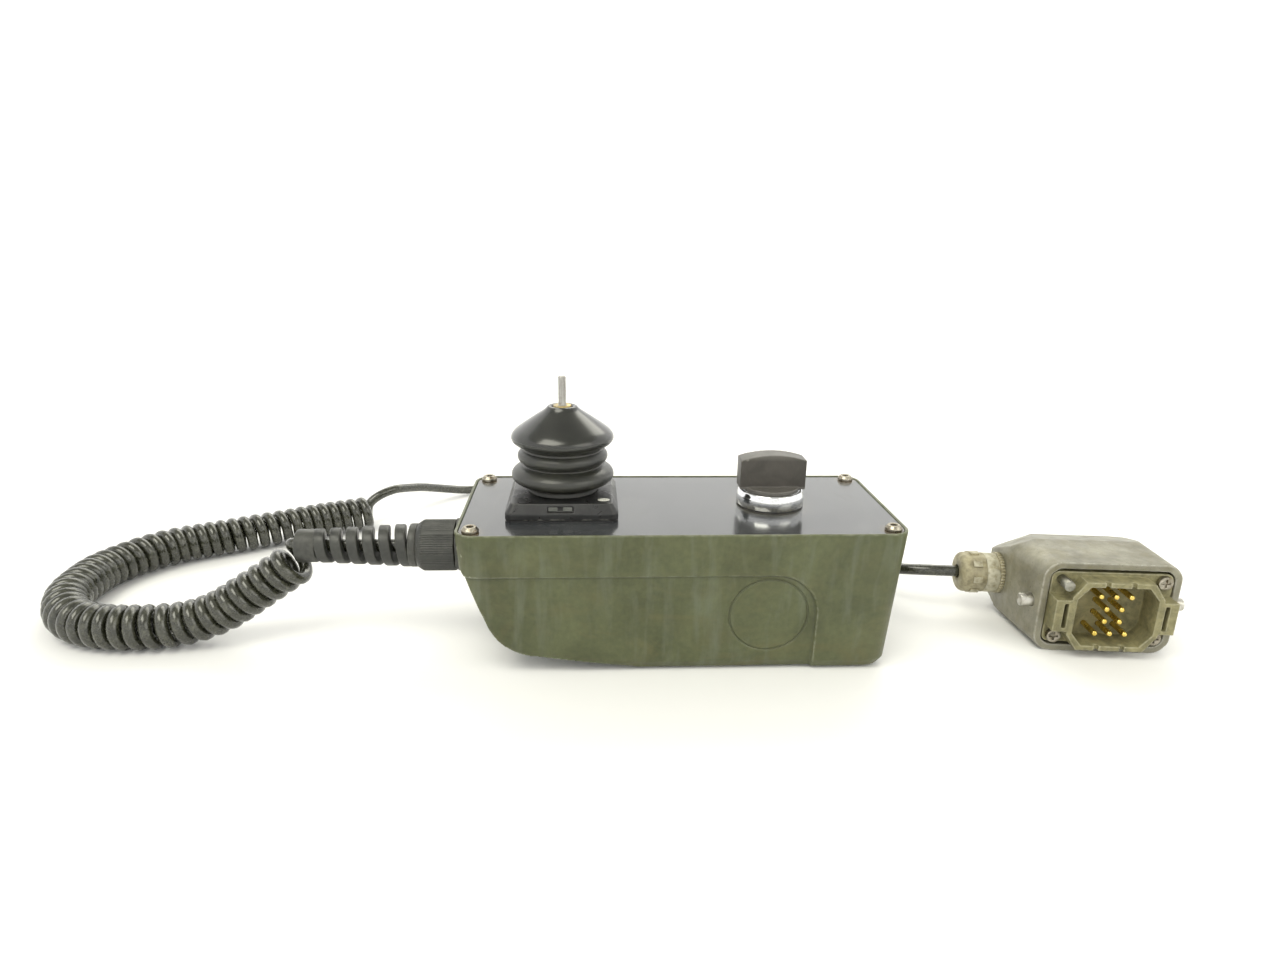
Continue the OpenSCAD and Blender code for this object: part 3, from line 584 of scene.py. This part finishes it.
def hermite(p, q, tp, tq, steps):
    """Points from p up to, not including, q, leaving along tp and arriving along tq."""
    out = []
    for i in range(steps):
        t = i / steps
        a, b = 2 * t ** 3 - 3 * t ** 2 + 1, t ** 3 - 2 * t ** 2 + t
        out.append(p * a + tp * b + q * (1 - a) + tq * (t ** 3 - t ** 2))
    return out


def smooth_line(points, steps):
    """A Catmull-Rom line through the points."""
    out = []
    last = len(points) - 1
    for i in range(last):
        before, after = points[max(i - 1, 0)], points[min(i + 2, last)]
        tp, tq = (points[i + 1] - before) / 2, (after - points[i]) / 2
        out += hermite(points[i], points[i + 1], tp, tq, steps)
    return out + [points[-1]]


def line_length(points):
    return sum((b - a).length for a, b in zip(points, points[1:]))


# ---------------------------------------------------------------- the cord
CORD_D = 5.5
COIL_D = 20
PITCH = 6.0
STEPS_PER_TURN = 22
EXIT = Vector((-166, 0, 44))
COIL_ROUTE = [
    (-167.3, 0, 36.2), (-178, -1, 29), (-189, -3, 22), (-201, -5, 15), (-214, -7, 11), (-229, -9, 10),
    (-244, -9, 10), (-257, -6, 10), (-268, 1, 10), (-276, 11, 10), (-281.5, 23, 10), (-283, 37, 10),
    (-282.5, 50, 10), (-278, 63, 10), (-271, 75, 10), (-262, 85, 10), (-250, 93, 10), (-237, 100, 10),
    (-224, 108, 10), (-211, 116, 10), (-198, 124, 10), (-185, 131, 10), (-171, 138, 10),
]
TAIL_ROUTE = [
    (-158, 157, 18.6), (-148, 172, 14.6), (-137, 187, 8.8), (-124, 198, 4.2), (-109, 205, 2.8),
    (-92, 207, 2.8), (-74, 205, 2.8), (-54, 199, 2.8), (-34, 190, 2.8), (-14, 179, 2.8),
    (6, 166, 2.8), (26, 151, 2.8),
    (45, 134, 2.8), (61, 117, 2.8), (75, 99, 3), (86, 81, 4), (95, 64, 7), (103, 49, 11.5), (111, 36, 15.6),
    (119, 27, 18.6), (130, 21.9, 20.2), (144.3, 19.8, 20.4),
]


def coil_points():
    """A right-handed helix about the coil's own line, a little uneven as a used cord is."""
    axis = smooth_line([Vector(p) for p in COIL_ROUTE], 12)
    total = line_length(axis)
    turns = round(total / PITCH) + 0.5
    radius = (COIL_D - CORD_D) / 2
    count = int(turns * STEPS_PER_TURN)
    reach = [0.0]
    for a, b in zip(axis, axis[1:]):
        reach.append(reach[-1] + (b - a).length)
    out = []
    i = 0
    for k in range(count + 1):
        f = k / count
        s = min(max(total * (f + 0.0025 * math.sin(f * 31)), 0), total)
        while i < len(reach) - 2 and reach[i + 1] < s:
            i += 1
        t = (s - reach[i]) / (reach[i + 1] - reach[i])
        centre = axis[i].lerp(axis[i + 1], t)
        ahead = (axis[min(i + 3, len(axis) - 1)] - axis[max(i - 2, 0)]).normalized()
        side = ahead.cross(Vector((0, 0, 1))).normalized()
        up = side.cross(ahead)
        phase = math.radians(90) + 2 * math.pi * turns * f
        r = radius * (1 - 0.02 * (0.5 + 0.5 * math.sin(f * 47)))
        out.append(centre + r * (math.cos(phase) * up + math.sin(phase) * side))
    return out


def make_cord():
    """The whole cord as one line: out of the relief, round the coil, and along the tail."""
    coil = coil_points()
    tail = smooth_line([Vector(p) for p in TAIL_ROUTE], 6)
    first = (coil[1] - coil[0]).normalized()
    last = (coil[-1] - coil[-2]).normalized()
    away = (tail[1] - tail[0]).normalized()
    points = hermite(EXIT, coil[0], Vector((-16, 0, 6)), first * 16, 14)
    points += coil
    points += hermite(coil[-1], tail[0], last * 20, away * 18, 12)[1:]
    points += tail
    curve = bpy.data.curves.new("curly_cord", "CURVE")
    curve.dimensions = "3D"
    spline = curve.splines.new("POLY")
    spline.points.add(len(points) - 1)
    for p, v in zip(spline.points, points):
        p.co = (*(v * MM), 1)
    spline.use_smooth = True
    curve.bevel_depth = CORD_D / 2 * MM
    curve.bevel_resolution = 4
    curve.use_fill_caps = True
    cord = add_object("curly_cord", curve)
    finish_piece(cord, "root", "cord", ("cord_coil", "cord_tail"))
    return cord, line_length(points) * MM


cord, cord_length = make_cord()


# ---------------------------------------------------------------- housing, panel and screws
soften("housing_shell", 0.45, 3, 0.22, "housing")
crisp("top_panel", 0.25, "panel", flat=True)
soften("panel_screws", 0.2, 2, 0.5, "screw_steel")


# ---------------------------------------------------------------- joystick
soften("joystick_flange", 0.3, 3, 0.5, "black_plastic")
crisp("lever_rod", 0.12, "steel", "lever", "rod_steel")
crisp("boot_ring", 0.2, "brass", "lever")


def inner_skin(outer, thick):
    """The outer points of a bellows, read from the bottom up, moved inward by its thickness."""
    inner = []
    for i, p in enumerate(outer):
        before, after = outer[max(i - 1, 0)], outer[min(i + 1, len(outer) - 1)]
        d = (after - before).normalized()
        inner.append(p + Vector((-d.y, d.x)) * thick)
    return inner


def make_boot():
    """The bellows in two pieces that meet inside the waist between its folds."""
    knots = [
        (15.4, 70.5), (15.2, 72.6), (16.6, 73.6), (19.6, 74.4), (21.4, 75.7), (22.0, 77.4), (21.5, 79.1),
        (19.8, 80.6), (17.6, 81.7), (17.1, 82.3), (17.5, 83.0), (18.7, 83.9), (19.3, 85.3), (19.1, 86.7),
        (18.1, 88.0), (17.4, 88.8), (17.5, 89.7), (19.4, 90.8), (21.2, 92.1), (21.9, 93.6), (21.5, 95.2),
        (19.9, 97.0), (17.5, 98.8), (14.2, 101.1), (10.9, 103.3), (7.9, 105.3), (6.8, 106.3), (6.2, 107.0),
        (5.3, 107.2), (4.6, 106.9), (4.2, 106.0),
    ]
    line = smooth_line([Vector(k).to_3d() for k in knots], 5)
    line = [Vector((p.x, p.y)) for p in line]
    split = min(range(len(line)), key=lambda i: abs(line[i].y - BOOT_WAIST_Z))
    for name, part, bodies, start, end in (
        ("boot_lower", line[: split + 1], ("root", "yoke"), 71, 88),
        ("boot_upper", line[split:], ("yoke", "lever"), BOOT_WAIST_Z, 105),
    ):
        inner = inner_skin(part, 1.1)
        profile = [(p.x, p.y) for p in part] + [(max(p.x, 4.0), p.y) for p in reversed(inner)]
        piece = lathe(name, profile, STICK)
        finish_piece(piece, None, "boot_rubber", ("boot",))
        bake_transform(piece)


make_boot()


def make_tiles():
    """Two paler squares behind the flange's window, and a small pale dot on its top."""
    bm = bmesh.new()
    for x in (-53.6, -47.6):
        block = bmesh.ops.create_cube(bm, size=1)["verts"]
        bmesh.ops.scale(bm, verts=block, vec=(0.0038, 0.0006, 0.0018))
        bmesh.ops.translate(bm, verts=block, vec=(x * MM, -0.0215, 0.0681))
    bmesh.ops.bevel(bm, geom=bm.edges[:], offset=0.0002, segments=2, affect="EDGES")
    mesh = bpy.data.meshes.new("window_tiles")
    bm.to_mesh(mesh)
    bm.free()
    finish_piece(add_object("window_tiles", mesh), "root", "window_tile", ())
    profile = [(0.02, 70.3), (1.9, 70.3), (2.3, 70.42), (2.1, 70.55), (0.02, 70.6)]
    place = Vector((-32.6, -16.2, 0))
    stretch = Vector((1.15, 0.8, 1))
    dot = lathe("flange_dot", profile, place, around=48)
    dot.scale = stretch
    dot.location = (place - place * stretch) * MM
    finish_piece(dot, "root", "mark_paint", ())


make_tiles()


# ---------------------------------------------------------------- selector
soften("selector_handle", 0.3, 3, 0.5, "handle_plastic", "selector")


def make_bezel():
    profile = [
        (11.1, 63.7), (14.5, 63.7), (14.8, 63.9), (14.8, 67.9), (14.72, 68.2), (14.05, 69.9), (13.85, 70.2),
        (13.4, 70.45), (13.0, 70.45), (12.8, 70.3), (12.8, 69.8), (11.1, 69.8),
    ]
    ring = lathe("bezel_ring", profile, SELECTOR, around=128)
    finish_piece(ring, "root", "chrome", ("selector_bezel",))


make_bezel()


# ---------------------------------------------------------------- gland and spiral relief
RELIEF_TURNS = 6
RELIEF_R = (7.3, 9.6)


def ribbed(r, z, a):
    """Fine ribs along the nut between six smooth lands."""
    ribbed_arc, ribs = 46, 9
    if r < 10.9 or not -112 < z < -97.2:
        return r
    sector = (math.degrees(a) + 15) % 60
    if sector > ribbed_arc:
        return r - 0.25
    return r - 0.32 * (0.5 - 0.5 * math.cos(2 * math.pi * sector / ribbed_arc * ribs))


def make_gland_nut():
    profile = [
        (9.1, -97), (11.0, -97), (11.3, -97.2), (11.4, -97.6), (11.4, -104), (11.4, -110.6), (11.2, -111.3),
        (10.4, -112.6), (9.6, -113.7), (9.2, -114), (7.6, -114), (7.6, -108), (9.1, -107.6),
    ]
    nut = lathe("gland_nut_look", profile, GLAND, (0, 90, 0), 360, ribbed)
    finish_piece(nut, "root", "gland_plastic", ("gland_nut",))


def make_relief():
    """A rounded band wound round the cord between two collars."""
    bm = bmesh.new()
    half, soft, low = 2.3, 0.7, 3.6
    x0, x1 = -158, -116
    count = RELIEF_TURNS * 72
    rings = []
    for i in range(count + 1):
        f = i / count
        a = 2 * math.pi * RELIEF_TURNS * f
        top = RELIEF_R[0] + (RELIEF_R[1] - RELIEF_R[0]) * f
        x = x0 + (x1 - x0) * f
        outline = []
        for cx, cr, start in (
            (half - soft, top - soft, 0), (-half + soft, top - soft, 90),
            (-half + soft, low + soft, 180), (half - soft, low + soft, 270),
        ):
            for q in range(5):
                b = math.radians(start + 22.5 * q)
                outline.append((cx + soft * math.cos(b), cr + soft * math.sin(b)))
        ring = []
        for dx, r in outline:
            point = Vector((x + dx, r * math.cos(a), r * math.sin(a))) + Vector(GLAND)
            ring.append(bm.verts.new(point * MM))
        rings.append(ring)
    for a, b in zip(rings, rings[1:]):
        for k in range(len(a)):
            j = (k + 1) % len(a)
            bm.faces.new((a[k], a[j], b[j], b[k]))
    bm.faces.new(rings[0])
    bm.faces.new(rings[-1][::-1])
    bmesh.ops.recalc_face_normals(bm, faces=bm.faces)
    band = add_object("relief_band", close_mesh("relief_band", bm))
    finish_piece(band, "root", "gland_plastic", ("spiral_relief",))
    for name, a, b, r in (
        ("relief_collar", EXIT.x, -157, RELIEF_R[0]),
        ("relief_root", -117.2, -113.8, RELIEF_R[1]),
    ):
        profile = [
            (2.75, a), (r - 0.7, a), (r - 0.2, a + 0.2), (r, a + 0.7), (r, b - 0.5), (r - 0.2, b - 0.1),
            (r - 0.6, b), (2.75, b),
        ]
        collar = lathe(name, profile, GLAND, (0, 90, 0))
        finish_piece(collar, "root", "gland_plastic", ())
        collar.parent = band
        collar.matrix_parent_inverse = band.matrix_world.inverted()


def make_lead():
    """The cord's own sheath inside the gland and the spiral, up to where it comes out."""
    r = CORD_D / 2
    profile = [(0.02, -166.2), (r, -166.2), (r, -150), (r, -130), (r, -84), (0.02, -84)]
    lead = lathe("lead_core", profile, GLAND, (0, 90, 0), 32)
    finish_piece(lead, "root", "cord", ("cord_lead",))


make_gland_nut()
make_relief()
make_lead()
crisp("gland_body", 0.3, "gland_plastic")


# ---------------------------------------------------------------- connector
soften("connector_hood", 0.45, 4, 0.4, "hood_metal")
soften("insert_body", 0.3, 2, 0.45, "insert_plastic")
for node, width, slot in (
    ("locking_pegs", 0.4, "peg_metal"), ("hood_gland_ring", 0.15, "beige_plastic"),
    ("hood_gland_body", 0.4, "beige_plastic"), ("hood_gland_nut", 0.3, "beige_plastic"),
    ("contact_pins", 0.2, "contact_gold"), ("insert_screws", 0.2, "screw_steel"),
):
    crisp(node, width, slot)
crisp("coding_pin", 0.4, "peg_metal", material="coding_metal")


# ---------------------------------------------------------------- final update
bpy.context.view_layer.update()
